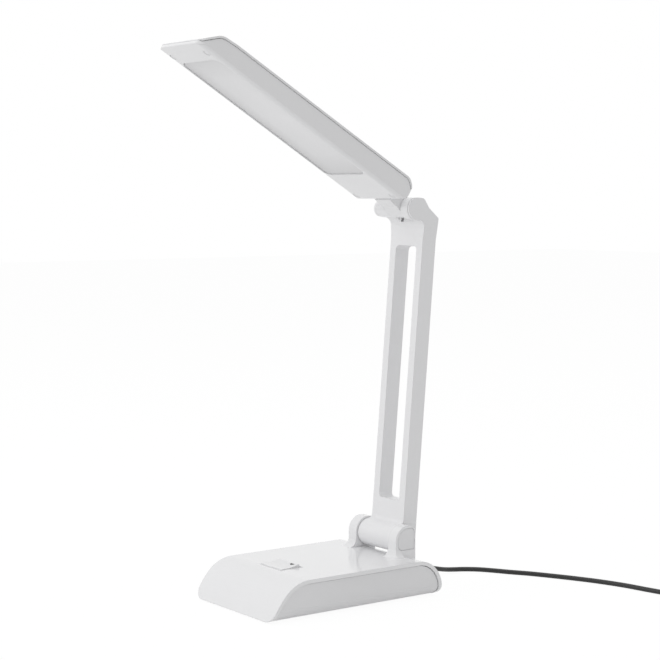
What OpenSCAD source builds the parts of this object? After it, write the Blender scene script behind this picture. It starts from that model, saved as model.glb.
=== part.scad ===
// Folding LED desk lamp: weighted base, slotted swing arm, flat light head. Units mm, +Z up, lamp faces -Y.

/* [Base] */
// Width of the base
base_w = 102; // [98:1:108]
// Height of the deck above the table
deck_z = 28.5; // [28.5:0.5:30]
// Thickness of the moulded walls
wall = 2.8; // [2.4:0.1:3]

/* [Arm] */
// Distance between the two hinge axes
arm_len = 250.6; // [235:0.2:265]
// Half the width of the arm
arm_half = 19.4; // [18.8:0.1:19.6]
// Backward lean of the arm at rest
arm_lean = 4.8; // [0:0.2:10]

/* [Head] */
// Half the width of the light head
head_half = 28.4; // [27:0.2:32]
// Distance from the hinge axis to the tip of the head
head_len = 227; // [220:1:240]
// Upward slope of the head at rest
head_rise = 31; // [0:1:45]

/* [Cord] */
// Diameter of the cord
cord_d = 4; // [3.6:0.1:4.4]

/* [Hidden] */
$fn = 64;

eps = 0.01;
graze = 0.003;       // lets a round cross the lines that it meets
seam = 0.4;          // visible joint between mouldings
slip = 0.1;          // clearance of a piece seated in its recess
run = 0.05;          // radial running clearance of a pivot
foot_z = 1.2;        // underside of the base above the table
base_half = base_w / 2;
tuck_r = 8.7;        // inward curve along the bottom of the sides

exit_y = 88.7;       // rear wall, where the cord leaves
exit_z = 9.5;
// Side outline of the base: toe, heel, heel bulge, rear shoulder, deck nose, nose slope
base_pts = [[-65.8, foot_z], [87.2, foot_z], [exit_y, 4.5], [exit_y, deck_z], [-45.77, deck_z], [-60.68, 11.94]];
base_rs = [0, 0, 0, 22, 28.7, 60];
rear_c = [66.7, deck_z - 22];

// Lower hinge
low_y = 73.2;
low_z = deck_z + 11.4;
barrel_r = 10.3;
barrel_half = 19.6;
lug_x = [20, 29.5];
lug_r = 11.7;
lug_rear = 7;
flare_r = 6.5;
shaft_r = 3;
nut_af = 10;
cap_r = 9.6;
cap_low = 6.6;
cap_t = 1.5;
cap_gap = 0.2;
pocket_r = 6.2;
pocket_x = 25;

// Rocker switch
sw_y = -23;
sw_z = deck_z - 3.95;
rock_half = 12.8;
rock_l = 8;
rock_h = 5.4;
rock_tip = 7.5;
sw_gap = 0.3;
mark_r = 2.3;
mark_x = 7.4;
sw_open = [rock_half + sw_gap, rock_l + 0.8];
sw_wall = 0.8;

// Arm, in its own frame: y across its thickness from front to rear, z along it from the lower axis
arm_front = 2.4;
arm_back = 15;
throat_r = 4;        // round between the barrel and the front face
throat = [arm_front - throat_r, sqrt(pow(barrel_r + throat_r, 2) - pow(arm_front - throat_r, 2))];
slot_half = arm_half - 7;
slot_z = [28, arm_len - 27.7];
up_y = -6;
ear_x = [-8.6, 10.2]; // inner faces of the far and near ears
ear_out = 21;
plate_t = 1.7;       // side plate of the near ear
ear_r = 8.3;
far_ear_r = 6.7;
knuckle_r = 7;
washer_t = 0.4;
knuckle_x = [ear_x[0] + washer_t, ear_x[1] - washer_t];
pin_r = 2;
pin_x = [-16.4, 18];
lip_y = 0.5;
cover_t = 1.8;
rib = 1.5;

// Head, in its own frame: y = minus the distance along it, z across its thickness
head_under = -4.8;
diff_half = head_half - 4.4;
diff_y = [20 - head_len, -57];
shell_t = 1.5;
head_seam = 0.25;
boss_n = 2.4;        // face between the screw bosses of the housing and of the shell
boss_r = 3.2;

base_screw_xy = [[38, -30], [-38, -30], [40, 50], [-40, 50]];
wire_r = 0.8;
wire_y = -10;
led_n = 12;
ballast = [52, 70];
board = [68, 48];
inlet_y = [50, 62, 79]; // mains wires: board end, bend, cord end
led_wire_y = [-60, -30];
board_xy = [[30, 6], [-30, 6], [30, 46], [-30, 46]];
foot_xy = [[30, -50], [-30, -50], [30, 70], [-30, 70]];
arm_screw_xz = [[9, 21], [-9, 21], [9, arm_len - 18.5], [-9, arm_len - 18.5]];
head_screw_xy = [[22, -27], [-22, -27], [22, 12 - head_len], [-22, 12 - head_len]];

function unit(v) = v / norm(v);
// Tangent points and centre of the round of radius r at corner b of the path a, b, c
function round_at(a, b, c, r) = let (u = unit(a - b), v = unit(c - b), half = acos(u * v) / 2)
  [b + u * r / tan(half), b + v * r / tan(half), b + unit(u + v) * r / sin(half)];
function turn(a, b, c) = cross(b - a, c - b);
// Convex outline moved inward by d, except its first edge, which moves by floor_d
function inset(pts, d, floor_d) = let (n = len(pts)) [for (i = [0:n - 1])
  let (b = pts[i], u = unit(pts[(i + n - 1) % n] - b), v = unit(pts[(i + 1) % n] - b), s = abs(cross(u, v)))
  b + u * ((i == 0 ? floor_d : d) / s) + v * ((i == 1 ? floor_d : d) / s)];
function shrink(rs, d) = [for (r = rs) r > d ? r - d : 0];

// Anticlockwise polygon whose corners have true round arcs
module outline(pts, rs) {
  n = len(pts);
  k = [for (i = [0:n - 1]) rs[i] > 0 ? round_at(pts[(i + n - 1) % n], pts[i], pts[(i + 1) % n], rs[i]) : []];
  convex = [for (i = [0:n - 1]) turn(pts[(i + n - 1) % n], pts[i], pts[(i + 1) % n]) > 0];
  difference() {
    union() {
      polygon([for (i = [0:n - 1]) each rs[i] > 0 ? [k[i][0], k[i][1]] : [pts[i]]]);
      for (i = [0:n - 1]) if (rs[i] > 0 && convex[i]) arc_patch(k[i], pts[i], rs[i]);
    }
    for (i = [0:n - 1]) if (rs[i] > 0 && !convex[i]) arc_patch(k[i], pts[i], rs[i]);
  }
}
module arc_patch(k, corner, r) {
  mid = (k[0] + k[1]) / 2;
  intersection() {
    translate(k[2]) circle(r + graze);
    polygon([k[0], corner, k[1], mid + (k[2] - mid) * 0.1]);
  }
}
module slab(w, h, r) outline([[-w / 2, -h / 2], [w / 2, -h / 2], [w / 2, h / 2], [-w / 2, h / 2]], [r, r, r, r]);
// Extrusions of a side outline across X, and of a front outline along Y
module across(x0, x1) translate([x0, 0, 0]) rotate([90, 0, 90]) linear_extrude(x1 - x0) children();
module through(y0, y1) translate([0, y1, 0]) rotate([90, 0, 0]) linear_extrude(y1 - y0) children();
module rod(r, x0, x1) translate([x0, 0, 0]) rotate([0, 90, 0]) cylinder(r = r, h = x1 - x0);
module both() { children(); mirror([1, 0, 0]) children(); }
module at_low() translate([0, low_y, low_z]) children();
module at_arm() at_low() rotate([-arm_lean, 0, 0]) children();
module at_up() at_arm() translate([0, up_y, arm_len]) children();
module at_head() at_up() rotate([arm_lean - head_rise, 0, 0]) children();
module at_switch() translate([0, sw_y, sw_z]) children();

// Base
module base_section(half, r) outline([[-half, foot_z], [half, foot_z], [half, 2 * deck_z], [-half, 2 * deck_z]],
  [r, r, 0, 0]);
module base_profile(d, floor_d) outline(inset(base_pts, d, floor_d), shrink(base_rs, d));
module lug() intersection() {
  across(lug_x[0], lug_x[1]) outline([[low_y - lug_r, 16], [low_y + lug_r, 16], [low_y + lug_r, low_z + lug_r],
    [low_y - lug_r, low_z + lug_r]], [0, 0, lug_r - 0.3, lug_r - 0.3]);
  cube([100, low_y + lug_rear, 100]);
}
module cap_side(g) outline([[g - cap_r, g - cap_low], [lug_rear - 1 - g, g - cap_low], [lug_rear - 1 - g, cap_r - g],
  [g - cap_r, cap_r - g]], [4, 0.8, 3, cap_r - g - 0.4]);
module lug_bores() at_low() {
  rod(shaft_r + run, 0, 40);
  rod(pocket_r, pocket_x, 40);
  across(lug_x[1] - cap_t, 40) cap_side(0);
}
// Concave foot of the lug: along its front, round its corner, along its side and down the rear shoulder
module flare_section() difference() {
  translate([-2, -1]) square([flare_r + 1.8, flare_r + 0.8]);
  translate([flare_r - 0.06, flare_r - 0.06]) circle(flare_r);
}
module lug_foot() intersection() {
  union() {
    translate([0, low_y - lug_r, deck_z]) mirror([0, 1, 0]) across(lug_x[0], lug_x[1]) flare_section();
    translate([lug_x[1], low_y - lug_r, deck_z]) rotate([0, 0, -90]) rotate_extrude(angle = 90) intersection() {
      flare_section();
      translate([0, -2]) square([20, 20]);
    }
    translate([lug_x[1], 0, deck_z]) through(low_y - lug_r, rear_c[0]) flare_section();
    translate([lug_x[1], rear_c[0], rear_c[1]]) rotate([0, 90, 0]) rotate([0, 0, 90])
      rotate_extrude(angle = 44) rotate([0, 0, -90]) mirror([1, 0]) translate([0, 22]) flare_section();
  }
  translate([0, 0, rear_c[1]]) cube([100, low_y + lug_rear, 100]);
}
module base_shell() color("whitesmoke") difference() {
  union() {
    intersection() {
      difference() {
        across(-base_half, base_half) base_profile(0, 0);
        across(-base_half - 1, base_half + 1) base_profile(wall, -20);
      }
      through(-100, 120) base_section(base_half, tuck_r);
    }
    both() across(base_half - 4.8, base_half - 3.2) difference() {
      intersection() {
        base_profile(wall - eps, 0);
        translate([-45, deck_z - 12]) square([120, 20]);
      }
      base_profile(wall + 6, -20);
    }
    both() {
      lug();
      lug_foot();
    }
    for (p = base_screw_xy) translate([p[0], p[1], 11]) cylinder(r = 4, h = deck_z - wall - 11 + eps);
  }
  for (p = base_screw_xy) translate([p[0], p[1], 10]) cylinder(r = 1.3, h = 10);
  translate([-sw_open[0] - sw_wall - slip, sw_y - sw_open[1] - sw_wall - slip, deck_z - 10])
    cube([2 * (sw_open[0] + sw_wall + slip), 2 * (sw_open[1] + sw_wall + slip), 20]);
  both() lug_bores();
  cord_hole();
}
module cord_hole() translate([0, 70, exit_z]) rotate([-90, 0, 0]) cylinder(r = 4.3, h = 30);
module base_tray() color("gainsboro") difference() {
  union() {
    difference() {
      intersection() {
        across(1 - base_half, base_half - 1) base_profile(wall + seam, 0);
        through(-100, 120) base_section(base_half - 1, tuck_r - 0.5);
      }
      intersection() {
        across(3 - base_half, base_half - 3) base_profile(wall + seam + 2, 2.2);
        through(-100, 120) translate([0, 2.2]) base_section(base_half - 3, tuck_r - 2);
      }
      translate([3 - base_half, -100, 10]) cube([base_w - 6, 200, 40]);
    }
    for (p = base_screw_xy) translate([p[0], p[1], 2]) cylinder(r = 4.5, h = 9);
    for (p = board_xy) translate([p[0], p[1], 3]) cylinder(r = 3, h = 10);
  }
  for (p = base_screw_xy) translate([p[0], p[1], 0]) {
    cylinder(r = 1.7, h = 12);
    cylinder(r = 3.1, h = 4.4);
  }
  for (p = board_xy) translate([p[0], p[1], 4]) cylinder(r = 1, h = 10);
  for (p = foot_xy) translate([p[0], p[1], 0]) cylinder(r = 6.1, h = 2);
  cord_hole();
}
module ballast_plate() color("dimgray") translate([0, 26, 3.4]) linear_extrude(7) difference() {
  slab(ballast[0], ballast[1], 4);
  for (y = [-25, 25]) translate([0, y]) circle(2.5);
}
module base_feet() color("darkslategray") for (p = foot_xy) translate([p[0], p[1], 0]) {
  cylinder(r = 5, h = 1.2);
  translate([0, 0, 0.8]) cylinder(r = 6, h = 1.2);
}
// Pan-head screw, head downward, shank upward
module screw(r, head_r, head_h, len) difference() {
  union() {
    cylinder(r = head_r, h = head_h);
    cylinder(r = r, h = len);
  }
  for (a = [0, 90]) rotate([0, 0, a]) translate([-head_r * 0.6, -0.35, -1]) cube([head_r * 1.2, 0.7, 1 + head_h * 0.6]);
}
module base_screws() color("silver") for (p = base_screw_xy) translate([p[0], p[1], 2.2]) screw(1.3, 2.8, 2.2, 15);
module board_screws() color("silver") for (p = board_xy) translate([p[0], p[1], 16.2]) mirror([0, 0, 1])
  screw(1, 2, 1.6, 8);
module driver_board() color("seagreen") translate([0, 26, 13]) linear_extrude(1.6) difference() {
  slab(board[0], board[1], 1.5);
  for (p = board_xy) translate([p[0], p[1] - 26]) circle(1.2);
}
module driver_transformer() color("gold") translate([-12, 26, 14.6]) {
  linear_extrude(2) slab(17, 15, 0.5);
  translate([0, 0, 2]) linear_extrude(5) slab(12, 15, 1);
  translate([0, 0, 7]) linear_extrude(2) slab(17, 15, 0.5);
}
module driver_capacitors() color("midnightblue") {
  for (x = [8, 19]) translate([x, 30, 14.6]) cylinder(r = 4, h = 10);
  translate([14, 14, 14.6]) linear_extrude(6) slab(12, 6, 0.5);
}
module tube_yz(r, y0, y1) translate([0, y0, 0]) rotate([-90, 0, 0]) cylinder(r = r, h = y1 - y0);
module base_wires() color("firebrick") {
  for (x = [-2, 2]) translate([x, 0, exit_z]) {
    translate([0, 0, 1]) tube_yz(wire_r, inlet_y[1], inlet_y[2]);
    translate([0, inlet_y[1], 1]) cylinder(r = wire_r, h = 4);
    translate([0, inlet_y[1], 1]) sphere(wire_r);
    translate([0, inlet_y[1], 5]) sphere(wire_r);
    translate([0, 0, 5]) tube_yz(wire_r, inlet_y[0], inlet_y[1]);
  }
  for (x = [-8, 8]) translate([x, 0, 8]) {
    tube_yz(wire_r, sw_y + 2.4, wire_y);
    translate([0, wire_y, 0]) sphere(wire_r);
    translate([0, wire_y, 0]) cylinder(r = wire_r, h = 5.8);
    translate([0, wire_y, 5.8]) sphere(wire_r);
    translate([0, 0, 5.8]) tube_yz(wire_r, wire_y, 2);
  }
}
module switch_housing() color("white") at_switch() difference() {
  union() {
    translate([-sw_open[0] - sw_wall, -sw_open[1] - sw_wall, -12.5])
      cube([2 * (sw_open[0] + sw_wall), 2 * (sw_open[1] + sw_wall), 12.5 + deck_z - sw_z + 0.2]);
    translate([-sw_open[0] - 3, -sw_open[1], deck_z - wall - sw_z - 1.5])
      cube([2 * (sw_open[0] + 3), 2 * sw_open[1], 1.5]);
  }
  translate([-sw_open[0], -sw_open[1], -10.5]) cube([2 * sw_open[0], 2 * sw_open[1], 30]);
  rod(1.5 + run, -sw_open[0] - 1, sw_open[0] + 1);
  for (x = [-8, 0, 8]) translate([x - 0.5, -2.6, -13]) cube([1, 5.2, 4]);
}
module switch_terminals() color("goldenrod") at_switch() for (x = [-8, 0, 8]) {
  translate([x - 0.4, -2.4, -18.5]) cube([0.8, 4.8, 10]);
  translate([x - 1.5, -2.4, -8.5]) cube([3, 4.8, 0.8]);
}
module rocker_outline() outline([[0.4 - rock_l, -1], [-3, -6], [3, -6], [rock_l - 0.4, -1], [rock_l, rock_h],
  [0, rock_h - rock_l * tan(rock_tip)], [-rock_l, rock_h]], [1.5, 1.5, 1.5, 1.5, 0.6, 30, 0.6]);
module rocker_recess(r) translate([0, 0, rock_h - 1.7]) rotate([rock_tip, 0, 0]) translate([mark_x, rock_l - 1.6, 0])
  intersection() {
    cylinder(r = r, h = 3);
    translate([-5, -5 + slip, 0]) cube([10, 5 + r - mark_r - slip, 3]);
  }
module switch_rocker() color("ivory") at_switch() rotate([rock_tip, 0, 0]) difference() {
  union() {
    across(-rock_half, rock_half) rocker_outline();
    rod(1.5, -rock_half - 0.8, rock_half + 0.8);
  }
  rocker_recess(mark_r);
}
module rocker_mark() color("black") at_switch() rotate([rock_tip, 0, 0]) intersection() {
  rocker_recess(mark_r - 0.02);
  across(-rock_half, rock_half) rocker_outline();
}

// Lower hinge hardware
module lower_shaft() color("lightsteelblue") at_low() {
  rod(shaft_r, 0.4 - lug_x[1] + cap_t, lug_x[1] - cap_t - 0.4);
  rod(pocket_r - slip, 0.4 - lug_x[1] + cap_t, -pocket_x);
}
module hex_nut(af, h, r) difference() {
  cylinder(r = af / 2 / cos(30), h = h, $fn = 6);
  translate([0, 0, -1]) cylinder(r = r, h = h + 2);
}
module lower_nut() color("silver") at_low() translate([pocket_x, 0, 0]) rotate([0, 90, 0]) hex_nut(nut_af, 2.6, shaft_r + 0.02);
module lower_washers() color("slategray") at_low() both() difference() {
  rod(10, barrel_half, lug_x[0]);
  rod(shaft_r + run, barrel_half - 1, lug_x[0] + 1);
}
module lower_caps() color("whitesmoke") at_low() both() across(lug_x[1] - cap_t, lug_x[1]) cap_side(cap_gap);

// Arm
module arm_side() {
  circle(barrel_r);
  outline([[arm_front, 20], [arm_front, 0], [2.6, -9.8], [arm_back, -3.5], [arm_back, arm_len - 20],
    [arm_front, arm_len - 20]], [0, 0, 0, 6, 0, 0]);
  difference() {
    polygon([[-3, barrel_r - 2], [arm_front + 1, barrel_r - 2], [arm_front + 1, throat[1]], [arm_front, throat[1]],
      throat * barrel_r / (barrel_r + throat_r)]);
    translate(throat) circle(throat_r + 0.02);
  }
}
module ear_side(r) outline([[arm_front, arm_len - 21], [arm_back, arm_len - 21], [arm_back, arm_len - 5.7],
  [5.2, arm_len + 1.3], [min(-0.45, up_y + r - 2), arm_len + r], [up_y - r, arm_len + r], [up_y - r, arm_len - r],
  [arm_front, arm_len - r]], [0, 0, 1.5, 0, 4, r - 0.05, r - 0.05, 6]);
module arm_face() outline([[-barrel_half, -12], [barrel_half, -12], [barrel_half, 12], [arm_half, 13],
  [arm_half, arm_len - 22], [ear_out, arm_len - 8], [ear_out, arm_len + 12], [-ear_out, arm_len + 12],
  [-ear_out, arm_len - 8], [-arm_half, arm_len - 22], [-arm_half, 13], [-barrel_half, 12]],
  [0, 0, 0, 0, 20, 12, 0, 0, 12, 20, 0, 0]);
module slot_round(g, r) outline([[-slot_half - g, slot_z[0] - g], [slot_half + g, slot_z[0] - g],
  [slot_half + g, slot_z[1] + g], [-slot_half - g, slot_z[1] + g]], [r, r, r, r]);
module arm_frame() color("whitesmoke") at_arm() difference() {
  intersection() {
    union() {
      across(-30, 30) arm_side();
      across(ear_x[1], 30) ear_side(ear_r);
      across(-30, ear_x[0]) ear_side(far_ear_r);
      // lip behind the knuckle, clear of the neck when the head is folded
      across(ear_x[0] - 1, ear_x[1] + 1) intersection() {
        ear_side(ear_r);
        translate([lip_y, 0]) square([30, arm_len - 2]);
      }
    }
    through(-30, 30) arm_face();
  }
  translate([0, up_y, arm_len]) rod(knuckle_r + 0.5, ear_x[0], ear_x[1]);
  translate([ear_x[0], -30, arm_len - 2]) cube([ear_x[1] - ear_x[0], 60, 60]);
  through(-30, 30) slot_round(0, 3.5);
  // hollow of the channel, open to the rear
  difference() {
    through(arm_front + 2, arm_back + 1) outline([[1.6 - arm_half, 14], [arm_half - 1.6, 14],
      [arm_half - 1.6, arm_len - 12], [1.6 - arm_half, arm_len - 12]], [2, 2, 2, 2]);
    through(0, 30) slot_round(rib, 5);
    for (p = arm_screw_xz) translate([p[0], 0, p[1]]) rotate([-90, 0, 0]) cylinder(r = 3, h = arm_back - cover_t);
  }
  for (p = arm_screw_xz) translate([p[0], 6, p[1]]) rotate([-90, 0, 0]) cylinder(r = 1, h = 20);
  // wire slot under the knuckle
  translate([ear_x[0] + 2.6, -3, arm_len - 9.6]) cube([3, arm_front + 6, 5]);
  translate([ear_x[0] + 1, arm_front + 1.5, arm_len - 14]) cube([6, 6, 8]);
  rod(shaft_r + run, -30, 30);
  translate([0, up_y, arm_len]) {
    rod(pin_r + run, -30, pin_x[1] + slip);
    rod(4.2, -30, pin_x[0] - 2 * slip);
    // groove behind the near side plate
    difference() {
      translate([ear_out - plate_t - 0.6, -12, -ear_r - 1]) cube([0.6, 13.5, 30]);
      rod(knuckle_r, 0, 30);
    }
  }
}
module arm_rear_cover() color("gainsboro") at_arm() difference() {
  through(arm_back - cover_t, arm_back) difference() {
    outline([[1.6 + slip - arm_half, 14 + slip], [arm_half - 1.6 - slip, 14 + slip],
      [arm_half - 1.6 - slip, arm_len - 12 - slip], [1.6 + slip - arm_half, arm_len - 12 - slip]], [2, 2, 2, 2]);
    slot_round(rib + slip, 5);
  }
  for (p = arm_screw_xz) translate([p[0], 0, p[1]]) rotate([-90, 0, 0]) {
    cylinder(r = 1.2, h = 30);
    translate([0, 0, arm_back - 1]) cylinder(r = 2.2, h = 10);
  }
}
module arm_screws() color("silver") at_arm() for (p = arm_screw_xz) translate([p[0], arm_back, p[1]]) rotate([90, 0, 0])
  screw(1, 2.1, 1, 8);
module arm_wire() color("firebrick") at_arm() for (x = [2.5, 4.3]) translate([arm_half - x, 7, 0]) {
  translate([0, 0, 22]) cylinder(r = wire_r, h = arm_len - 42);
  translate([0, 0, 22]) sphere(wire_r);
}

// Upper hinge hardware
module upper_shaft() color("lightsteelblue") at_up() rod(pin_r, pin_x[0] - 3, pin_x[1]);
module upper_nut() color("silver") at_up() translate([pin_x[0] - 2.6, 0, 0]) rotate([0, 90, 0])
  hex_nut(7, 2.4, pin_r + 0.02);
module upper_washers() color("slategray") at_up() difference() {
  for (x = [ear_x[0], knuckle_x[1]]) rod(5.5, x, x + washer_t);
  rod(pin_r + run, -30, 30);
}
module upper_cap() color("whitesmoke") at_up() difference() {
  rod(6.3, -ear_out - 3.6, -ear_out);
  rod(4, -ear_out - 1.5, -ear_out + 1);
}

// Head: side outline from the tip of the nose along the underside, up the rear and back along the top
head_pts = [[-head_len, head_under], [-17.4, head_under], [-15.8, 6.5], [-23, 12.9], [-head_len + 27, 11.3],
  [-head_len + 13.5, 10.2], [-head_len + 1.4, -0.6]];
head_rs = [0.8, 8.6, 6, 8, 0, 12, 5];
module head_side(d, floor_d) outline(inset(head_pts, d, floor_d), shrink(head_rs, d));
module head_plan(d) outline([[d - head_half, -head_len], [head_half - d, -head_len], [head_half - d, -15],
  [d - head_half, -15]], [8, 8, 5, 5]);
module head_section() outline([[-head_half, head_under], [head_half, head_under], [head_half, 20], [-head_half, 20]],
  [4.5, 4.5, 0, 0]);
module head_body(d) intersection() {
  across(-40, 40) head_side(0, 0);
  translate([0, 0, -20]) linear_extrude(60) head_plan(d);
  through(-240, 0) head_section();
}
// Side area of the top shell: over the top, down to its lips at the nose and at the rear
module shell_zone() polygon([[-head_len - 1, -1.4], [-head_len + 8, -1.4], [-head_len + 30, 6.8], [0, 6.8], [0, 30],
  [-head_len - 1, 30]]);
// Screw bosses of the shell, which also seat in the solid nose of the housing
module head_bosses(r) for (p = head_screw_xy) translate([p[0], p[1], boss_n]) cylinder(r = r, h = 20);
module head_shell() color("whitesmoke") at_head() difference() {
  union() {
    difference() {
      intersection() {
        head_body(0);
        across(-40, 40) shell_zone();
      }
      across(-41, 41) head_side(shell_t, 0);
    }
    intersection() {
      across(-40, 40) head_side(shell_t - 0.2, 0);
      head_bosses(boss_r);
    }
    // locating ribs inside the side walls
    both() across(head_half - 4.6, head_half - 3.4) intersection() {
      difference() {
        head_side(shell_t - 0.2, 0);
        head_side(shell_t + 2.4, -20);
      }
      translate([-head_len + 40, 0]) square([head_len - 70, 20]);
    }
  }
  for (p = head_screw_xy) translate([p[0], p[1], 0]) cylinder(r = 1.2, h = 6.6);
}
module head_housing() color("whitesmoke") at_head() difference() {
  union() {
    difference() {
      head_body(0.5);
      across(-40, 40) difference() {
        translate([0, -head_seam]) shell_zone();
        head_side(shell_t + head_seam, 0);
      }
    }
    rod(knuckle_r, knuckle_x[0], knuckle_x[1]);
    across(knuckle_x[0], knuckle_x[1]) neck_side();
  }
  // hollow above the underside, open to the top between the end walls
  difference() {
    intersection() {
      across(-40, 40) polygon([[-head_len + 8, head_under + 2], [-21, head_under + 2], [-21, 30], [-head_len + 20, 30],
        [-head_len + 20, 7]]);
      translate([0, 0, -20]) linear_extrude(60) head_plan(3);
    }
    for (p = head_screw_xy) translate([p[0], p[1], -20]) cylinder(r = 3.8, h = 20 + boss_n);
  }
  translate([0, (diff_y[0] + diff_y[1]) / 2, -10]) linear_extrude(20) slab(2 * diff_half, diff_y[1] - diff_y[0], 6);
  head_bosses(boss_r + 2 * slip);
  for (p = head_screw_xy) translate([p[0], p[1], -20]) {
    cylinder(r = 1.3, h = 40);
    cylinder(r = 2.6, h = 19);
  }
  rod(pin_r + run, -30, 30);
}
module neck_side() difference() {
  polygon([[0, 0], [-3.5, -6.06], [-9, -5], [-19, -3.4], [-19, 6], [-14, 6], [0, knuckle_r]]);
  translate([-11, -9.6]) circle(5.4);
}
module head_screws() color("silver") at_head() for (p = head_screw_xy) translate([p[0], p[1], -3])
  screw(1.2, 2.3, 2, 9.4);
module head_plugs() color("white") at_head() for (p = head_screw_xy) translate([p[0], p[1], head_under + 0.2])
  cylinder(r = 2.4, h = 1.5);
module diffuser() color("snow") at_head() translate([0, (diff_y[0] + diff_y[1]) / 2, 0]) {
  translate([0, 0, head_under + 0.9]) linear_extrude(1.6) slab(2 * (diff_half - 0.3), diff_y[1] - diff_y[0] - 0.6, 5.7);
  translate([0, 0, head_under + 2]) linear_extrude(1.2) slab(2 * (diff_half + 1), diff_y[1] - diff_y[0] + 2, 5);
}
module light_guide() color("aliceblue") at_head() translate([0, (diff_y[0] + diff_y[1]) / 2, head_under + 3.2])
  linear_extrude(3) slab(2 * diff_half, diff_y[1] - diff_y[0], 3);
module led_board() color("seagreen") at_head() translate([0, (diff_y[0] + diff_y[1]) / 2, head_under + 7.2])
  linear_extrude(1.2) slab(30, diff_y[1] - diff_y[0] - 6, 1);
module leds() color("khaki") at_head() for (x = [-10, 10], i = [0:led_n - 1])
  translate([x - 1.5, diff_y[0] + 8 + i * (diff_y[1] - diff_y[0] - 19) / (led_n - 1), head_under + 6.2]) cube([3, 3, 1]);
module head_wire() color("firebrick") at_head() for (x = [-2, 2]) translate([x, 0, head_under + 9.4]) {
  tube_yz(wire_r, led_wire_y[0], led_wire_y[1]);
  translate([0, led_wire_y[0], 0]) sphere(wire_r);
}

// Mains cord
relief_len = 22.3;
cord_r = cord_d / 2;
route = [[0, exit_y + relief_len, exit_z], [0, 116, 8.9], [-0.6, 124, 7], [-2, 132, 5], [-3.4, 140, 3.4],
  [-3.6, 148, 2.4], [-1, 156, cord_r], [6, 164, cord_r], [16, 171, cord_r], [28, 178, cord_r], [41, 186.6, cord_r],
  [55.9, 194.6, cord_r], [74, 203.4, cord_r], [93.4, 211.4, cord_r], [114, 217.6, cord_r], [135.5, 221.4, cord_r],
  [152, 224.6, cord_r], [168, 226.7, 1.9], [178, 227, 1.7], [184, 227, 1.6]];
module strain_relief() color("black") translate([0, 0, exit_z]) {
  tube_yz(5.2, inlet_y[2], inlet_y[2] + 1.5);
  tube_yz(4.2, inlet_y[2] + 1, exit_y + 0.8);
  tube_yz(5.2, exit_y + slip, exit_y + 2);
  translate([0, exit_y + 2, 0]) rotate([-90, 0, 0]) cylinder(r1 = 4.2, r2 = 2.8, h = relief_len - 2);
}
function ring(c, t, r, n) = let (s = unit(cross(t, [0, 0, 1])), w = cross(s, t))
  [for (i = [0:n - 1]) let (a = 360 * i / n + 180 / n) c + r * (cos(a) * s + sin(a) * w)];
function tangent(p, i) = unit(p[min(i + 1, len(p) - 1)] - p[max(i - 1, 0)]);
module swept(p, r, n, first, last) {
  m = len(p);
  pts = [for (i = [0:m - 1]) each ring(p[i], i == 0 ? first : i == m - 1 ? last : tangent(p, i), r, n)];
  sides = [for (i = [0:m - 2], j = [0:n - 1]) let (a = i * n + j, b = i * n + (j + 1) % n) each
    [[a, b, b + n], [a, b + n, a + n]]];
  polyhedron(pts, concat([[for (j = [n - 1:-1:0]) j]], sides, [[for (j = [0:n - 1]) (m - 1) * n + j]]));
}
module above_table() difference() {
  children();
  translate([-200, -200, -10]) cube([600, 600, 10]);
}
module cord() color("black") above_table() swept(route, cord_r, 8, [0, 1, 0], [1, 0, 0]);

// Coil of the cord: lower layer winds inward, upper layer outward
coil_c = [184, 258];
coil_turns = 3;
coil_pitch = cord_d + 0.6;
coil_in = route[len(route) - 1];
coil_out = coil_c[1] - coil_in[1];
steps = 24;
function coil_r(t) = coil_out - coil_pitch * min(t, 2 * coil_turns + 0.5 - t);
function coil_z(t) = coil_in[2] + coil_pitch * max(0, min(1, (t - coil_turns) * 2));
coil_path = [for (i = [0:steps * (2 * coil_turns) + 12]) let (t = i / steps, a = -90 + 360 * t)
  [coil_c[0] + coil_r(t) * cos(a), coil_c[1] + coil_r(t) * sin(a), coil_z(t)]];
tail = coil_path[len(coil_path) - 1] - [24, 0, 0];
coil_gap = min([for (i = [0:len(coil_path) - 1], j = [i + steps / 2:1:len(coil_path) - 1])
  norm(coil_path[i] - coil_path[j])]) - cord_d;
echo(coil_gap = coil_gap);
module cord_coil() color("black") above_table()
  swept(concat(coil_path, [tail + [12, 0, 0], tail]), cord_r, 6, [1, 0, 0], [-1, 0, 0]);
module cord_tie() color("dimgray") translate([coil_c[0] + coil_out - coil_pitch * (coil_turns + 0.5) / 2, coil_c[1] - 3, 4.4])
  rotate([-90, 0, 0]) linear_extrude(5) difference() {
    slab(20.6, 8.8, 3);
    slab(18.8, 7.6, 2.4);
  }
// Two-pin mains plug, lying flat
plug_z = tail[2];
plug_len = 34;
pin_pitch = 18.6;
module plug_body() color("black") translate([tail[0], tail[1], 0]) intersection() {
  linear_extrude(2 * plug_z) outline([[-plug_len, -12.9], [-8, -12.9], [0, -3.4], [0, 3.4], [-8, 12.9],
    [-plug_len, 12.9]], [2.5, 7, 0, 0, 7, 2.5]);
  across(-plug_len, 1) translate([0, plug_z]) slab(25.8, 2 * plug_z, 4);
}
module plug_pins() color("silver") translate([tail[0] - plug_len, tail[1], plug_z])
  for (y = [-pin_pitch / 2, pin_pitch / 2]) translate([0, y, 0]) rod(2, -19, 0);

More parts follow.
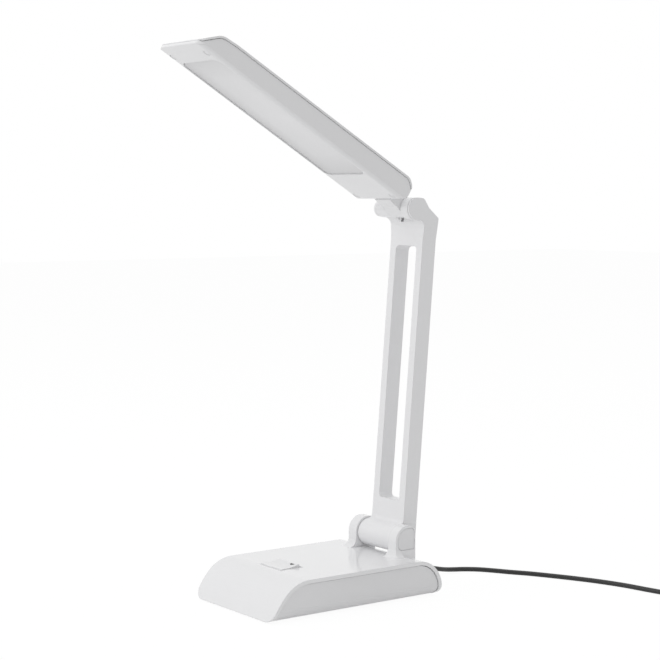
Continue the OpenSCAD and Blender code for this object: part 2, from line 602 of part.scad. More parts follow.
base_shell();
base_tray();
ballast_plate();
base_feet();
base_screws();
switch_housing();
switch_terminals();
switch_rocker();
rocker_mark();
driver_board();
board_screws();
driver_transformer();
driver_capacitors();
base_wires();
lower_shaft();
lower_nut();
lower_washers();
lower_caps();
arm_frame();
arm_rear_cover();
arm_screws();
arm_wire();
upper_shaft();
upper_nut();
upper_washers();
upper_cap();
head_shell();
head_housing();
head_screws();
head_plugs();
diffuser();
light_guide();
led_board();
leds();
head_wire();
strain_relief();
cord();
cord_coil();
cord_tie();
plug_body();
plug_pins();
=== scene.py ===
"""Folding desk lamp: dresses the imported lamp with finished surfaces, a pale stage and a camera."""

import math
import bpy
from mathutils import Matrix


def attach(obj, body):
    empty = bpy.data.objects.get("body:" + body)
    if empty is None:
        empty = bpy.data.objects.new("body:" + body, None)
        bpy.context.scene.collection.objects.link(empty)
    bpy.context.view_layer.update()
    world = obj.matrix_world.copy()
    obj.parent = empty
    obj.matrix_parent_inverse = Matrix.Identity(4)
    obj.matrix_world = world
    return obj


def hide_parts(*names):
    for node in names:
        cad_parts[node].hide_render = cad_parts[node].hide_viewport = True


bl_info = {
    "name": "Folding Desk Lamp",
    "version": (1, 0, 0),
    "blender": (4, 5, 0),
    "location": "3D View > Sidebar > Desk Lamp",
    "description": "Builds the finished surfaces of a folding desk lamp around its solid frame",
    "category": "Add Mesh",
}

import bmesh
import bpy
import numpy as np

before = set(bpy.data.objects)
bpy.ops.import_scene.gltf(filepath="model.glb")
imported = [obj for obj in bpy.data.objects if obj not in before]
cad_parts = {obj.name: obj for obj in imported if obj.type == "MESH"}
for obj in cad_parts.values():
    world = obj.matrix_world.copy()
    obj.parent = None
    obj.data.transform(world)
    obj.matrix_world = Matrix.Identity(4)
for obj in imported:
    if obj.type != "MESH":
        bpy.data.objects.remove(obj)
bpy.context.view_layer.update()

MM = 0.001
CORD_RADIUS = 2.0 * MM
JACKET_FIT = 0.985        # the grooved jacket's radius as a share of the solid cord's
REST_HEIGHT = 0.8         # least height of the cord's middle, in radii, where it lies a little flattened
EXIT = np.array([0.0, 111.0, 9.5]) * MM
ROUTE = np.array([
    [0, 111, 9.5], [0, 116, 8.9], [-0.6, 124, 7], [-2, 132, 5], [-3.4, 140, 3.4], [-3.6, 148, 2.4],
    [-1, 156, 2], [6, 164, 2], [16, 171, 2], [28, 178, 2], [41, 186.6, 2], [55.9, 194.6, 2], [74, 203.4, 2],
    [93.4, 211.4, 2], [114, 217.6, 2], [135.5, 221.4, 2], [152, 224.6, 2], [168, 226.7, 1.9],
    [178, 227, 1.7], [184, 227, 1.6],
]) * MM
COIL_CENTRE = np.array([184.0, 258.0]) * MM
COIL_OUTER = 31.0 * MM
COIL_PITCH = 4.6 * MM
COIL_TURNS = 3
TIE_HALF = np.array([10.2, 4.3]) * MM     # half the width and half the height of the strap's loop
TIE_HEIGHT = 4.4 * MM                     # its middle above the table
PLUG_LENGTH = 34.0 * MM
PIN_OFFSET = 9.3 * MM                     # from the plug's middle to each pin
HEAD_RISE = math.radians(31.0)
PANEL_CENTRE = (0.0, -0.02696, 0.35477)   # middle of the diffuser's face
PANEL_HALF = (0.024, 0.075)               # half its width and half its length

CAMERA_PLACE = (1.01194, -0.72081, 0.29972)
CAMERA_TILT = math.radians(90 - 4.53)
CAMERA_HEADING = math.radians(53.73)
CAMERA_LENS, CAMERA_SENSOR = 92.36, 36.0
FLOOR_HALF = 6.0
FLOOR_GLOW = 1.02         # strength of the white that the eye sees on the floor
FLOOR_SHARE = 0.93        # its share; the rest of the floor keeps the lamp's shadow
LAMPS = (                 # name, place, point aimed at, width in metres, share of the key light's power
    ("Key", (-0.9, -1.8, 1.15), (0.0, 0.0, 0.15), 1.6, 1.0),
    ("Top", (0.0, 0.1, 2.2), (0.0, 0.0, 0.1), 1.4, 0.78),
)


# Mesh surfaces
def unit(v):
    """v / |v|, row by row."""
    return v / np.maximum(np.linalg.norm(v, axis=-1, keepdims=True), 1e-12)


def smooth_path(points, per_span):
    """Catmull-Rom curve: each span is a cubic p(t), t = 0..1, set by four neighbours and sampled per_span times."""
    p = np.vstack([2 * points[0] - points[1], points, 2 * points[-1] - points[-2]])
    t = np.linspace(0, 1, per_span, endpoint=False)[:, None]
    a, b, c, d = (p[i:len(points) - 1 + i, None, :] for i in range(4))
    q = 0.5 * (2 * b + (c - a) * t + (2 * a - 5 * b + 4 * c - d) * t**2 + (3 * b - a - 3 * c + d) * t**3)
    return np.vstack([q.reshape(-1, 3), points[-1]])


def path_frames(path, ends):
    """Tangent T = dp/ds; side S = T x Z, made unit; W = S x T, which stays upright along a lying cord."""
    tangent = unit(np.gradient(path, axis=0))
    tangent[0], tangent[-1] = ends
    side = unit(np.cross(tangent, [0.0, 0.0, 1.0]))
    return side, np.cross(side, tangent)


def grid_faces(rows, cols):
    """Quads (i,j)-(i,j+1)-(i+1,j+1)-(i+1,j) of a rows x cols grid, closed in the second direction."""
    i, j = np.meshgrid(np.arange(rows - 1), np.arange(cols), indexing="ij")
    k = (j + 1) % cols
    return np.stack([i * cols + j, i * cols + k, (i + 1) * cols + k, (i + 1) * cols + j], -1).reshape(-1, 4)


def capped_faces(rows, cols):
    """The quads of a grid closed round its sections, and a flat face at each end."""
    first, last = list(range(cols)), list(range((rows - 1) * cols, rows * cols))
    return grid_faces(rows, cols).tolist() + [first, last]


def mesh_object(name, verts, faces, smooth=True):
    """A mesh object at the origin from an array of points and a list of faces."""
    mesh = bpy.data.meshes.new(name)
    mesh.from_pydata(np.asarray(verts).tolist(), [], [list(map(int, f)) for f in faces])
    mesh.validate()
    mesh.polygons.foreach_set("use_smooth", np.full(len(mesh.polygons), smooth))
    obj = bpy.data.objects.new(name, mesh)
    bpy.context.scene.collection.objects.link(obj)
    return obj


def add_uv(obj, u, v, cols):
    """UV of a swept grid: u runs round the section and v along the path, in metres."""
    layer = obj.data.uv_layers.new(name="Sweep")
    loops = np.empty(len(obj.data.loops), dtype=np.int64)
    obj.data.loops.foreach_get("vertex_index", loops)
    uv = np.stack([u[loops % cols], v[loops // cols]], -1)
    layer.data.foreach_set("uv", uv.astype(np.float32).ravel())


def swept_grid(path, radius, section, ends):
    """Point(i, a) = path(i) + radius * section(a) . (S, W): a profile carried along a path."""
    side, up = path_frames(path, ends)
    ring = section[None, :, :1] * side[:, None, :] + section[None, :, 1:] * up[:, None, :]
    return path[:, None, :] + radius * ring


def swept(name, path, radius, section, ends):
    """A closed tube: the swept grid with a flat face at each end."""
    grid = swept_grid(path, radius, section, ends)
    rows, cols = grid.shape[:2]
    faces = [f[::-1] for f in grid_faces(rows, cols).tolist()]
    faces += [list(range(cols)), list(range((rows - 1) * cols, rows * cols))[::-1]]
    obj = mesh_object(name, grid.reshape(-1, 3), faces)
    around = np.linspace(0, 1, cols, endpoint=False)
    along = np.concatenate([[0], np.cumsum(np.linalg.norm(np.diff(path, axis=0), axis=1))])
    add_uv(obj, around, along, cols)
    fix_normals(obj)
    return obj


def fix_normals(obj):
    """Merges doubles, then turns every face of a closed mesh outwards."""
    bm = bmesh.new()
    bm.from_mesh(obj.data)
    bmesh.ops.remove_doubles(bm, verts=bm.verts, dist=1e-7)
    bmesh.ops.recalc_face_normals(bm, faces=bm.faces)
    bm.to_mesh(obj.data)
    bm.free()


def lift_to_table(obj):
    """z' = max(z, 0): flattens what would lie below the table."""
    places = np.empty(len(obj.data.vertices) * 3)
    obj.data.vertices.foreach_get("co", places)
    places[2::3] = np.maximum(places[2::3], 0.0)
    obj.data.vertices.foreach_set("co", places)


def twin_section(sides):
    """Twin-core flex: r(a) = 1 - 0.16 exp(-(cos a / 0.22)^2), a round with a soft groove at top and bottom."""
    a = np.linspace(0, 2 * np.pi, sides, endpoint=False) + np.pi / sides
    r = 1 - 0.16 * np.exp(-((np.cos(a) / 0.22) ** 2))
    return np.stack([r * np.cos(a), r * np.sin(a)], -1)


def revolved(name, stations, origin, axis, side, sides=48):
    """Point(i, a) = origin + s(i) axis + r(i) (cos a side + sin a (axis x side)): a lathe profile (s, r)."""
    s, r = np.asarray(stations, float).T
    axis, side = unit(np.asarray(axis, float)), unit(np.asarray(side, float))
    other = np.cross(axis, side)
    a = np.linspace(0, 2 * np.pi, sides, endpoint=False)
    ring = np.cos(a)[:, None] * side + np.sin(a)[:, None] * other
    verts = np.asarray(origin) + s[:, None, None] * axis + r[:, None, None] * ring[None]
    obj = mesh_object(name, verts.reshape(-1, 3), capped_faces(len(s), sides))
    fix_normals(obj)
    return obj


def superellipse(n, power):
    """(|cos a|^(2/p) sign cos a, the same of sin a): a round-cornered box outline for power above 2."""
    a = np.linspace(0, 2 * np.pi, n, endpoint=False)
    c, s = np.cos(a), np.sin(a)
    e = 2.0 / power
    return np.stack([np.sign(c) * np.abs(c) ** e, np.sign(s) * np.abs(s) ** e], -1)


def smooth_by_angle(obj, degrees):
    """Smooth faces with sharp edges where neighbours turn by more than the angle."""
    obj.data.polygons.foreach_set("use_smooth", np.ones(len(obj.data.polygons), dtype=bool))
    obj.data.set_sharp_from_angle(angle=math.radians(degrees))


# Shader helper
class Sig:
    """A shader socket that adds Math nodes when it is used in Python arithmetic."""

    def __init__(self, tree, socket):
        self.tree, self.socket = tree, socket

    def math(self, operation, *values):
        """The result of a Math node with these values."""
        return add_node(self.tree, "ShaderNodeMath", 0, {"operation": operation}, dict(enumerate(values)))

    def __add__(self, other):
        return self.math("ADD", self, other)

    def __radd__(self, other):
        return self.math("ADD", other, self)

    def __sub__(self, other):
        return self.math("SUBTRACT", self, other)

    def __rsub__(self, other):
        return self.math("SUBTRACT", other, self)

    def __mul__(self, other):
        return self.math("MULTIPLY", self, other)

    def __rmul__(self, other):
        return self.math("MULTIPLY", other, self)


def put(tree, slot, value):
    """Links a Sig to a socket, or sets the socket's own value; a colour of three numbers gets alpha 1."""
    if isinstance(value, Sig):
        tree.links.new(value.socket, slot)
    else:
        slot.default_value = (*value, 1.0) if slot.type == "RGBA" and len(value) == 3 else value


def set_stops(elements, stops):
    """Fills a colour ramp with (position, grey) stops."""
    while len(elements) < len(stops):
        elements.new(0.5)
    for element, (where, grey) in zip(elements, stops):
        element.position = where
        element.color = (grey, grey, grey, 1)


def add_node(tree, kind, out=0, settings=None, at=None, **sockets):
    """Adds a node: its settings first, then its sockets by number or by name; returns one of its outputs."""
    node = tree.nodes.new(kind)
    for key, value in (settings or {}).items():
        if key == "stops":
            set_stops(node.color_ramp.elements, value)
        else:
            setattr(node, key, value)
    for key, value in {**(at or {}), **sockets}.items():
        put(tree, node.inputs[key.replace("_", " ") if isinstance(key, str) else key], value)
    return Sig(tree, node.outputs[out])


class Finish:
    """One material: a Principled shader and the nodes that feed it."""

    def __init__(self, name):
        self.material = bpy.data.materials.new(name)
        self.material.use_nodes = True
        self.tree = self.material.node_tree
        self.shader = self.tree.nodes["Principled BSDF"]
        self.place = self.node("ShaderNodeTexCoord", "Object")

    def node(self, kind, out=0, settings=None, at=None, **sockets):
        """Adds a node to this material's tree."""
        return add_node(self.tree, kind, out, settings, at, **sockets)

    def noise(self, scale, detail=3.0, rough=0.5, place=None):
        return self.node("ShaderNodeTexNoise", "Fac", Vector=place or self.place, Scale=scale, Detail=detail,
                         Roughness=rough)

    def mapped(self, place, scale):
        """A place stretched by a scale for each axis."""
        return self.node("ShaderNodeMapping", "Vector", Vector=place, Scale=scale)

    def ramp(self, value, stops):
        return self.node("ShaderNodeValToRGB", "Color", {"stops": stops}, Fac=value)

    def mix(self, factor, low, high):
        """A colour between low and high; a Mix node of colours takes them at sockets 6 and 7."""
        return self.node("ShaderNodeMix", 2, {"data_type": "RGBA"}, {0: factor, 6: low, 7: high})

    def bump(self, height, distance, strength=1.0, **normal):
        return self.node("ShaderNodeBump", "Normal", Height=height, Distance=distance, Strength=strength, **normal)

    def soft_edge(self, radius):
        """The normal of an edge rounded by this radius."""
        return self.node("ShaderNodeBevel", "Normal", {"samples": 4}, Radius=radius)

    def set(self, **sockets):
        """Fills sockets of the shader."""
        for key, value in sockets.items():
            put(self.tree, self.shader.inputs[key.replace("_", " ")], value)


def dress(node_name, finish):
    """Gives a CAD node's object one material in all its slots."""
    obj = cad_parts[node_name]
    if not obj.material_slots:
        obj.data.materials.append(finish.material)
    for slot in obj.material_slots:
        slot.material = finish.material


def cover(obj, finish, body, slot_name, *nodes):
    """Finishes a new piece: material, body and the nodes that it stands for; slot_name, the record slot, is not
    used.
    """
    obj.data.materials.clear()
    obj.data.materials.append(finish.material)
    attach(obj, body)
    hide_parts(*nodes)
    return obj


# Finishes
def shade(tint, share):
    """A colour times a share, held at white."""
    return tuple(min(1.0, c * share) for c in tint)


def moulded_white(name, tint, rough, grain, edge, coat=0.0):
    """Injection-moulded plastic: fine spark grain, slow flow waves, and slightly soft edges."""
    f = Finish(name)
    flow = f.noise(14.0, 2.0)
    fine = f.noise(grain, 4.0, 0.6)
    dust = f.ramp(f.noise(420.0, 2.0), [(0.55, 0.0), (0.8, 1.0)])
    f.set(Base_Color=f.mix(flow, shade(tint, 0.975), shade(tint, 1.02)),
          Roughness=rough + (fine - 0.5) * 0.10 + dust * 0.03, IOR=1.49, Coat_Weight=coat, Coat_Roughness=0.06)
    waves = f.bump(flow, 0.00025, 0.25, Normal=f.soft_edge(edge))
    f.set(Normal=f.bump(fine, 0.00003, 0.35, Normal=waves))
    return f


def metal(name, tint, rough):
    """Turned or plated steel: streaks drawn out along the turning direction, across X."""
    f = Finish(name)
    streak = f.noise(1.0, 3.0, 0.6, f.mapped(f.place, (900.0, 60.0, 60.0)))
    worn = f.noise(90.0, 3.0)
    f.set(Base_Color=f.mix(worn, shade(tint, 0.85), tint), Metallic=1.0,
          Roughness=rough + streak * 0.12 + worn * 0.08)
    f.set(Normal=f.bump(streak, 0.00002, 0.4, Normal=f.soft_edge(0.0003)))
    return f


def rubbery(name, tint, rough, grain=700.0):
    """Soft black compound with a dull grain and faint bloom."""
    f = Finish(name)
    bloom = f.noise(60.0, 3.0)
    fine = f.noise(grain, 3.0)
    f.set(Base_Color=f.mix(bloom, tint, tuple(c * 1.9 + 0.004 for c in tint)),
          Roughness=rough + (fine - 0.5) * 0.2, Normal=f.bump(fine, 0.00005, 0.5))
    return f


def flex_jacket(name, tint):
    """Extruded cord jacket: fine lines along its length on the sweep's own UV, and handling marks."""
    f = Finish(name)
    sweep = f.node("ShaderNodeUVMap", "UV", {"uv_map": "Sweep"})
    lines = f.noise(1.0, 2.0, 0.5, f.mapped(sweep, (60.0, 9.0, 1.0)))
    marks = f.noise(35.0, 4.0)
    f.set(Base_Color=f.mix(marks, tint, tuple(c * 2.2 + 0.003 for c in tint)),
          Roughness=0.34 + lines * 0.16, Normal=f.bump(lines, 0.00004, 0.5))
    return f


def frosted(name, tint):
    """Opal acrylic over a light guide: satin front, fine dots, and painted shade that greys the far edge and both
    ends.
    """
    f = Finish(name)
    dots = f.node("ShaderNodeTexVoronoi", "Distance", Vector=f.place, Scale=700.0)
    cloud = f.noise(9.0, 2.0)
    panel = f.node("ShaderNodeMapping", "Vector", {"vector_type": "TEXTURE"}, Vector=f.place,
                   Location=PANEL_CENTRE, Rotation=(-HEAD_RISE, 0.0, 0.0))
    sideways, along = (f.node("ShaderNodeSeparateXYZ", axis, Vector=panel) * (0.5 / half) + 0.5
                       for axis, half in zip("XY", PANEL_HALF))
    # painted shade: edge darkens the colour towards the far edge and ends darkens it towards both ends; lit is the
    # colour with this painted shade
    edge = f.ramp(sideways, [(0.0, 0.0), (0.3, 0.8), (0.75, 1.0), (1.0, 0.9)])
    ends = f.ramp(along, [(0.0, 0.35), (0.16, 0.85), (0.5, 1.0), (0.82, 0.8), (1.0, 0.15)])
    lit = f.mix(edge * ends, shade(tint, 0.78), tint)
    f.set(Base_Color=f.mix(cloud * 0.2, lit, shade(tint, 0.95)), Roughness=0.42 + dots * 0.12, IOR=1.49,
          Normal=f.bump(dots, 0.00004, 0.35))
    return f


def circuit_board(name, tint):
    """Solder mask with tracks: a brick pattern makes the paler copper runs under the mask."""
    f = Finish(name)
    runs = f.node("ShaderNodeTexBrick", "Fac", Vector=f.mapped(f.place, (260.0, 260.0, 260.0)))
    speck = f.noise(500.0, 2.0)
    f.set(Base_Color=f.mix(runs, tint, shade(tint, 1.7)), Roughness=0.35 + speck * 0.15,
          Normal=f.bump(runs, 0.00003, 0.5))
    return f


def cast_iron(name, tint):
    """Sand-cast weight: coarse grain with rust-brown freckles."""
    f = Finish(name)
    sand = f.noise(260.0, 5.0, 0.65)
    rust = f.ramp(f.noise(55.0, 4.0), [(0.56, 0.0), (0.72, 1.0)])
    f.set(Base_Color=f.mix(rust, tint, (0.16, 0.09, 0.05)), Roughness=0.6 + sand * 0.25, Metallic=0.7)
    f.set(Normal=f.bump(sand, 0.0003, 0.7, Normal=f.soft_edge(0.0006)))
    return f


def clear_acrylic(name):
    """Edge-lit light guide: clear plate with etched rows of dots."""
    f = Finish(name)
    cells = f.node("ShaderNodeTexVoronoi", "Distance", Vector=f.place, Scale=400.0)
    etch = f.ramp(cells, [(0.2, 1.0), (0.4, 0.0)])
    f.set(Base_Color=(0.93, 0.95, 0.97), Roughness=0.05 + etch * 0.5, IOR=1.49, Transmission_Weight=0.9,
          Normal=f.bump(etch, 0.00003, 0.4))
    return f


def lamp_chip(name):
    """White surface-mount lamp: pale case with a warm phosphor spot."""
    f = Finish(name)
    warm = f.noise(300.0, 2.0)
    f.set(Base_Color=f.mix(warm, (0.86, 0.76, 0.32), (0.93, 0.88, 0.6)), Roughness=0.3 + warm * 0.1,
          Normal=f.bump(warm, 0.00003, 0.4))
    return f


MADE = {}        # the finishes made so far, by key


def finish_of(key):
    """Each finish is made once and kept."""
    look = bpy.context.scene.desk_lamp_look
    body, deck, tray, opal, cord = (tuple(colour) for colour in (
        look.body_colour, look.deck_colour, look.tray_colour, look.diffuser_colour, look.cord_colour))
    recipes = {
        "deck": (moulded_white, "Gloss white moulding", deck, 0.13, 900.0, 0.0005, 0.35),
        "satin": (moulded_white, "Satin white moulding", body, 0.38, 1100.0, 0.0005),
        "head": (moulded_white, "Satin white head shell", shade(body, 0.975), 0.34, 1100.0, 0.0007),
        "tray": (moulded_white, "Satin white base tray", tray, 0.42, 1000.0, 0.0004),
        "cap": (moulded_white, "Matt white cap", shade(body, 0.97), 0.45, 1300.0, 0.0003),
        "rocker": (moulded_white, "Gloss white rocker", body, 0.2, 900.0, 0.0004, 0.2),
        "wire": (moulded_white, "Red wire insulation", (0.45, 0.05, 0.04), 0.35, 700.0, 0.0001),
        "steel": (metal, "Zinc plated steel", (0.62, 0.62, 0.64), 0.26),
        "dark_steel": (metal, "Blackened spring steel", (0.2, 0.2, 0.21), 0.36),
        "brass": (metal, "Bright brass blade", (0.75, 0.56, 0.28), 0.24),
        "pin": (metal, "Nickel plated pin", (0.74, 0.74, 0.75), 0.16),
        "rubber": (rubbery, "Black rubber", (0.018, 0.018, 0.019), 0.6),
        "black": (rubbery, "Black moulded plastic", (0.02, 0.02, 0.022), 0.45, 900.0),
        "mark": (rubbery, "Black indicator", (0.012, 0.012, 0.012), 0.3, 1200.0),
        "cord": (flex_jacket, "Black flex jacket", cord),
        "iron": (cast_iron, "Cast iron weight", (0.12, 0.12, 0.125)),
        "board": (circuit_board, "Green circuit board", (0.05, 0.2, 0.1)),
        "diffuser": (frosted, "Opal diffuser", opal),
        "guide": (clear_acrylic, "Clear light guide"),
        "chip": (lamp_chip, "Lamp chip"),
    }
    if key not in MADE:
        maker, *values = recipes[key]
        MADE[key] = maker(*values)
    return MADE[key]


# Properties
class DeskLampLook(bpy.types.PropertyGroup):
    """Colours and light strengths that a user would change"""
    body_colour: bpy.props.FloatVectorProperty(
        name="Body colour", description="White of the arm, head, caps and rocker", subtype="COLOR", size=3,
        min=0, max=1, default=(0.86, 0.86, 0.87))
    deck_colour: bpy.props.FloatVectorProperty(
        name="Deck colour", description="White of the glossy base shell", subtype="COLOR", size=3, min=0, max=1,
        default=(0.87, 0.87, 0.88))
    tray_colour: bpy.props.FloatVectorProperty(
        name="Tray colour", description="White of the base tray", subtype="COLOR", size=3, min=0, max=1,
        default=(0.83, 0.83, 0.84))
    diffuser_colour: bpy.props.FloatVectorProperty(
        name="Diffuser colour", description="Tone of the frosted panel", subtype="COLOR", size=3, min=0, max=1,
        default=(0.86, 0.86, 0.87))
    cord_colour: bpy.props.FloatVectorProperty(
        name="Cord colour", description="Black of the cord", subtype="COLOR", size=3, min=0, max=1,
        default=(0.006, 0.006, 0.006))
    ambient: bpy.props.FloatProperty(
        name="Ambient light", description="Strength of the even studio light", default=0.57, min=0, max=2)
    key_power: bpy.props.FloatProperty(
        name="Key light", description="Power of the large soft lamp in front, which the top lamp follows",
        default=13.2, min=0, max=500, subtype="POWER")


# Operators
def eye_ray(tree):
    """1 for rays that the eye sees straight, mirrored or through glass, so metal and glass show white paper too."""
    camera, glossy, glass = (add_node(tree, "ShaderNodeLightPath", f"Is {kind} Ray")
                             for kind in ("Camera", "Glossy", "Transmission"))
    return camera.math("MAXIMUM", camera.math("MAXIMUM", camera, glossy), glass)


def white_to_eye(tree, output, share, lit, white):
    """Mixes plain white into a lit shader, by a share, and links the mix to the output node."""
    mixed = add_node(tree, "ShaderNodeMixShader", at={0: share, 1: lit, 2: white})
    tree.links.new(mixed.socket, tree.nodes[output].inputs["Surface"])


class LAMP_OT_stage(bpy.types.Operator):
    """Adds the floor, backdrop light, lamps and the camera"""
    bl_idname = "desk_lamp.stage"
    bl_label = "Stage and Camera"

    def execute(self, context):
        context.scene.view_settings.view_transform = "Standard"
        self.camera(context.scene)
        self.floor()
        self.studio(context.scene)
        self.lamps(context.scene)
        return {"FINISHED"}

    def camera(self, scene):
        """The photograph's viewpoint"""
        camera = bpy.data.cameras.new("Camera")
        camera.lens, camera.sensor_width = CAMERA_LENS, CAMERA_SENSOR
        camera.clip_start, camera.clip_end = 0.05, 50.0
        view = bpy.data.objects.new("Camera", camera)
        view.location = CAMERA_PLACE
        view.rotation_euler = (CAMERA_TILT, 0.0, CAMERA_HEADING)
        scene.collection.objects.link(view)
        scene.camera = view

    def floor(self):
        """A flat sheet of white paper that keeps the lamp's shadow"""
        corners = [(x * FLOOR_HALF, y * FLOOR_HALF, 0) for x, y in ((-1, -1), (1, -1), (1, 1), (-1, 1))]
        floor = mesh_object("floor", corners, [(0, 1, 2, 3)], smooth=False)
        paper = bpy.data.materials.new("White paper floor")
        paper.use_nodes = True
        tree = paper.node_tree
        shader = tree.nodes["Principled BSDF"]
        put(tree, shader.inputs["Base Color"], (0.92, 0.92, 0.92))
        put(tree, shader.inputs["Roughness"], 0.9)
        put(tree, shader.inputs["Specular IOR Level"], 0.0)
        glow = add_node(tree, "ShaderNodeEmission", Color=(1, 1, 1), Strength=FLOOR_GLOW)
        white_to_eye(tree, "Material Output", eye_ray(tree) * FLOOR_SHARE, Sig(tree, shader.outputs[0]), glow)
        floor.data.materials.append(paper)

    def studio(self, scene):
        """Even light from all sides, behind which the eye sees white"""
        world = bpy.data.worlds.new("Studio")
        world.use_nodes = True
        scene.world = world
        tree = world.node_tree
        even = tree.nodes["Background"]
        put(tree, even.inputs["Color"], (1, 1, 1))
        put(tree, even.inputs["Strength"], scene.desk_lamp_look.ambient)
        white = add_node(tree, "ShaderNodeBackground", Color=(1, 1, 1), Strength=1.0)
        white_to_eye(tree, "World Output", eye_ray(tree), Sig(tree, even.outputs[0]), white)

    def lamps(self, scene):
        """Large soft square lamps, each turned so that its -Z points at its aim"""
        for name, where, aim, wide, share in LAMPS:
            lamp = bpy.data.lights.new(name, "AREA")
            lamp.shape, lamp.size, lamp.size_y = "RECTANGLE", wide, wide
            lamp.energy = scene.desk_lamp_look.key_power * share
            light = bpy.data.objects.new(name, lamp)
            light.location = where
            way = np.array(aim) - np.array(where)
            dip = math.acos(-way[2] / np.linalg.norm(way))
            light.rotation_euler = (dip, 0, math.atan2(way[1], way[0]) - math.pi / 2)
            scene.collection.objects.link(light)


def coil_path(per_turn):
    """Two flat spirals: r = outer - pitch t going in on the table, then out again one pitch higher; then a straight
    tail. t counts the turns."""
    t = np.arange(int(per_turn * (2 * COIL_TURNS + 0.5)) + 1) / per_turn
    a = np.radians(-90 + 360 * t)
    r = COIL_OUTER - COIL_PITCH * np.minimum(t, 2 * COIL_TURNS + 0.5 - t)
    z = ROUTE[-1, 2] + COIL_PITCH * np.clip((t - COIL_TURNS) * 2, 0, 1)
    turns = np.stack([COIL_CENTRE[0] + r * np.cos(a), COIL_CENTRE[1] + r * np.sin(a), z], -1)
    tail = turns[-1] + np.array([[-8.0, 0, 0], [-16.0, 0, 0], [-24.0, 0, 0]]) * MM
    return np.vstack([turns, tail])


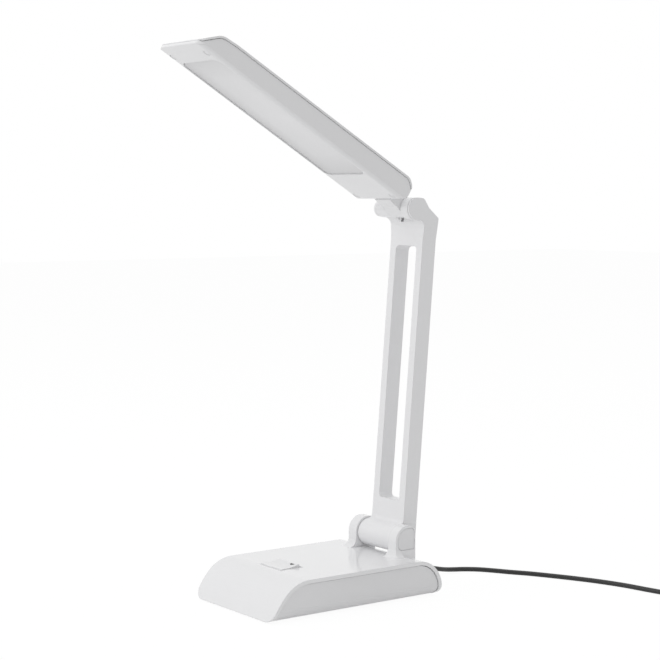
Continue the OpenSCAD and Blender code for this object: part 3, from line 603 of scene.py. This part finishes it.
class LAMP_OT_cord(bpy.types.Operator):
    """Adds the mains cord with its coil, tie, strain relief and plug"""
    bl_idname = "desk_lamp.cord"
    bl_label = "Mains Cord"

    def execute(self, context):
        path = np.vstack([smooth_path(ROUTE, per_span=6)[:-1], coil_path(per_turn=36)])
        path[:, 2] = np.maximum(path[:, 2], CORD_RADIUS * REST_HEIGHT)
        cord = swept("cord_flex", path, CORD_RADIUS * JACKET_FIT, twin_section(sides=16),
                     ends=((0, 1, 0), (-1, 0, 0)))
        lift_to_table(cord)
        cover(cord, finish_of("cord"), "base", "cord_black", "cord", "cord_coil")

        relief = self.strain_relief()
        tie = self.tie()
        plug, pins = self.plug(path[-1])
        return {"FINISHED"}

    def strain_relief(self):
        """Lathe profile along +Y, (place, radius) in mm: flanges inside and outside the rear wall, then seven
        ribs with grooves between them, whose radius falls evenly from 4.2 to 2.8 mm."""
        start = 90.9 + 2.8 * np.arange(7)
        wide = 4.2 - 1.4 * (start - 90.7) / 20.3
        rib = [(start, wide - 0.75), (start + 0.25, wide), (start + 1.65, wide - 0.08), (start + 1.9, wide - 0.85)]
        stations = np.vstack([
            [[79, 5.1], [80.5, 5.1], [80.5, 4.15], [88.9, 4.15], [88.9, 5.0], [89.2, 5.2], [90.4, 5.2]],
            [[90.7, 4.9]], np.transpose(rib, (2, 0, 1)).reshape(-1, 2), [[110.7, 2.75], [111.0, 2.45]],
        ]) * MM
        obj = revolved("strain_relief_boot", stations, (0, 0, EXIT[2]), (0, 1, 0), (1, 0, 0))
        smooth_by_angle(obj, 50)
        return cover(obj, finish_of("rubber"), "base", "rubber", "strain_relief")

    def tie(self):
        """Strap round the coil: a superellipse loop in x and z, carried across y with a thin domed section."""
        loop = superellipse(72, 5.0) * TIE_HALF
        reach = np.linalg.norm(loop, axis=1, keepdims=True)
        centre = np.array([COIL_CENTRE[0] + COIL_OUTER - COIL_PITCH * (COIL_TURNS + 0.5) / 2,
                           COIL_CENTRE[1] - 0.5 * MM, TIE_HEIGHT])
        across = np.array([-2.4, -2.0, 2.0, 2.4]) * MM
        depth = np.array([0.1, -0.02, -0.02, 0.1, 0.9, 0.9, 0.9, 0.9]) * MM
        wide = np.concatenate([across, across[::-1]])
        flat = loop[:, None, :] * (1 - depth[None, :, None] / reach[:, None])
        grid = np.concatenate([flat, np.broadcast_to(wide[None, :, None], (len(loop), len(wide), 1))], -1)
        pts = np.stack([centre[0] + grid[..., 0], centre[1] + grid[..., 2], centre[2] + grid[..., 1]], -1)
        rows, cols = grid.shape[:2]
        pts = np.concatenate([pts, pts[:1]], 0)
        obj = mesh_object("cord_tie_strap", pts.reshape(-1, 3), grid_faces(rows + 1, cols))
        fix_normals(obj)
        smooth_by_angle(obj, 40)
        return cover(obj, finish_of("black"), "base", "black_plastic", "cord_tie")

    def plug(self, end):
        """Plug body: sections along -X, half-width w(s) and half-height h(s) on superellipses, with grip ridges;
        then two round pins, each a lathe profile (place, radius) along -X."""
        s, w, h = np.array([
            [0, 3.0, 3.0], [0.6, 3.4, 3.4], [2, 4.6, 4.0], [4, 6.8, 4.7], [6, 9.0, 5.3], [8, 10.9, 5.7],
            [10, 12.2, 6.0], [12, 12.8, 6.1], [14, 12.8, 6.1], [16, 12.4, 5.9], [18, 12.8, 6.1], [20, 12.4, 5.9],
            [22, 12.8, 6.1], [24, 12.4, 5.9], [26, 12.8, 6.1], [28, 12.8, 6.1], [30, 12.8, 6.1], [32, 12.8, 6.1],
            [33.4, 12.5, 5.9], [33.9, 11.8, 5.3],
        ]).T * MM
        ring = superellipse(48, 3.2)
        pts = np.stack([np.broadcast_to(end[0] - s[:, None], (len(s), len(ring))),
                        end[1] + w[:, None] * ring[None, :, 0], end[2] + h[:, None] * ring[None, :, 1]], -1)
        body = mesh_object("plug_moulding", pts.reshape(-1, 3), capped_faces(*pts.shape[:2]))
        fix_normals(body)
        smooth_by_angle(body, 50)
        cover(body, finish_of("black"), "base", "rubber", "plug_body")
        verts, faces = [], []
        stations = np.array([[0, 2.0], [9.8, 2.0], [10.0, 1.75], [17.6, 1.75], [18.5, 1.3], [18.9, 0.5]]) * MM
        out, r = stations[:, :1], stations[:, 1:]
        a = np.linspace(0, 2 * np.pi, 32, endpoint=False)
        for y in (-PIN_OFFSET, PIN_OFFSET):
            pin = np.stack([np.broadcast_to(end[0] - PLUG_LENGTH - out, (len(out), len(a))),
                            end[1] + y + r * np.cos(a), end[2] + r * np.sin(a)], -1)
            faces += [[len(verts) + i for i in face] for face in capped_faces(*pin.shape[:2])]
            verts += pin.reshape(-1, 3).tolist()
        pins = mesh_object("plug_contacts", verts, faces)
        fix_normals(pins)
        smooth_by_angle(pins, 40)
        cover(pins, finish_of("pin"), "base", "chrome", "plug_pins")
        return body, pins


class LAMP_OT_mouldings(bpy.types.Operator):
    """Finishes the white plastic shells, caps and covers"""
    bl_idname = "desk_lamp.mouldings"
    bl_label = "White Mouldings"

    def execute(self, context):
        for name, key in (("base_shell", "deck"), ("base_tray", "tray"), ("switch_housing", "satin"),
                          ("lower_caps", "cap"), ("arm_frame", "satin"), ("arm_rear_cover", "tray"),
                          ("upper_cap", "cap"), ("head_shell", "head"), ("head_housing", "head"),
                          ("head_plugs", "cap"), ("switch_rocker", "rocker")):
            dress(name, finish_of(key))
        return {"FINISHED"}


class LAMP_OT_hardware(bpy.types.Operator):
    """Finishes the shafts, screws, washers, weight and feet"""
    bl_idname = "desk_lamp.hardware"
    bl_label = "Metal and Rubber Hardware"

    def execute(self, context):
        for name, key in (("base_screws", "steel"), ("board_screws", "steel"), ("arm_screws", "steel"),
                          ("head_screws", "steel"), ("lower_shaft", "steel"), ("lower_nut", "steel"),
                          ("upper_shaft", "steel"), ("upper_nut", "steel"), ("lower_washers", "dark_steel"),
                          ("upper_washers", "dark_steel"), ("ballast_plate", "iron"), ("base_feet", "rubber"),
                          ("switch_terminals", "brass"), ("rocker_mark", "mark")):
            dress(name, finish_of(key))
        return {"FINISHED"}


class LAMP_OT_electrics(bpy.types.Operator):
    """Finishes the circuit boards, driver parts, wires and lamps"""
    bl_idname = "desk_lamp.electrics"
    bl_label = "Boards, Wires and Optics"

    def execute(self, context):
        for name, key in (("driver_board", "board"), ("driver_transformer", "black"),
                          ("driver_capacitors", "black"), ("base_wires", "wire"), ("arm_wire", "wire"),
                          ("head_wire", "wire"), ("led_board", "board"), ("leds", "chip"),
                          ("light_guide", "guide"), ("diffuser", "diffuser")):
            dress(name, finish_of(key))
        return {"FINISHED"}


class LAMP_PT_panel(bpy.types.Panel):
    """Colours, lights and build steps of the lamp"""
    bl_idname = "LAMP_PT_panel"
    bl_label = "Desk Lamp"
    bl_space_type = "VIEW_3D"
    bl_region_type = "UI"
    bl_category = "Desk Lamp"

    def draw(self, context):
        column = self.layout.column()
        for name in DeskLampLook.__annotations__:
            column.prop(context.scene.desk_lamp_look, name)
        for operator in STEPS:
            column.operator(operator.bl_idname)


STEPS = (LAMP_OT_stage, LAMP_OT_cord, LAMP_OT_mouldings, LAMP_OT_hardware, LAMP_OT_electrics)
CLASSES = (DeskLampLook, *STEPS, LAMP_PT_panel)


def register():
    for item in CLASSES:
        bpy.utils.register_class(item)
    bpy.types.Scene.desk_lamp_look = bpy.props.PointerProperty(type=DeskLampLook)


def unregister():
    del bpy.types.Scene.desk_lamp_look
    for item in reversed(CLASSES):
        bpy.utils.unregister_class(item)


def main():
    register()
    for operator in STEPS:
        group, name = operator.bl_idname.split(".")
        getattr(getattr(bpy.ops, group), name)()


if __name__ == "__main__":
    main()
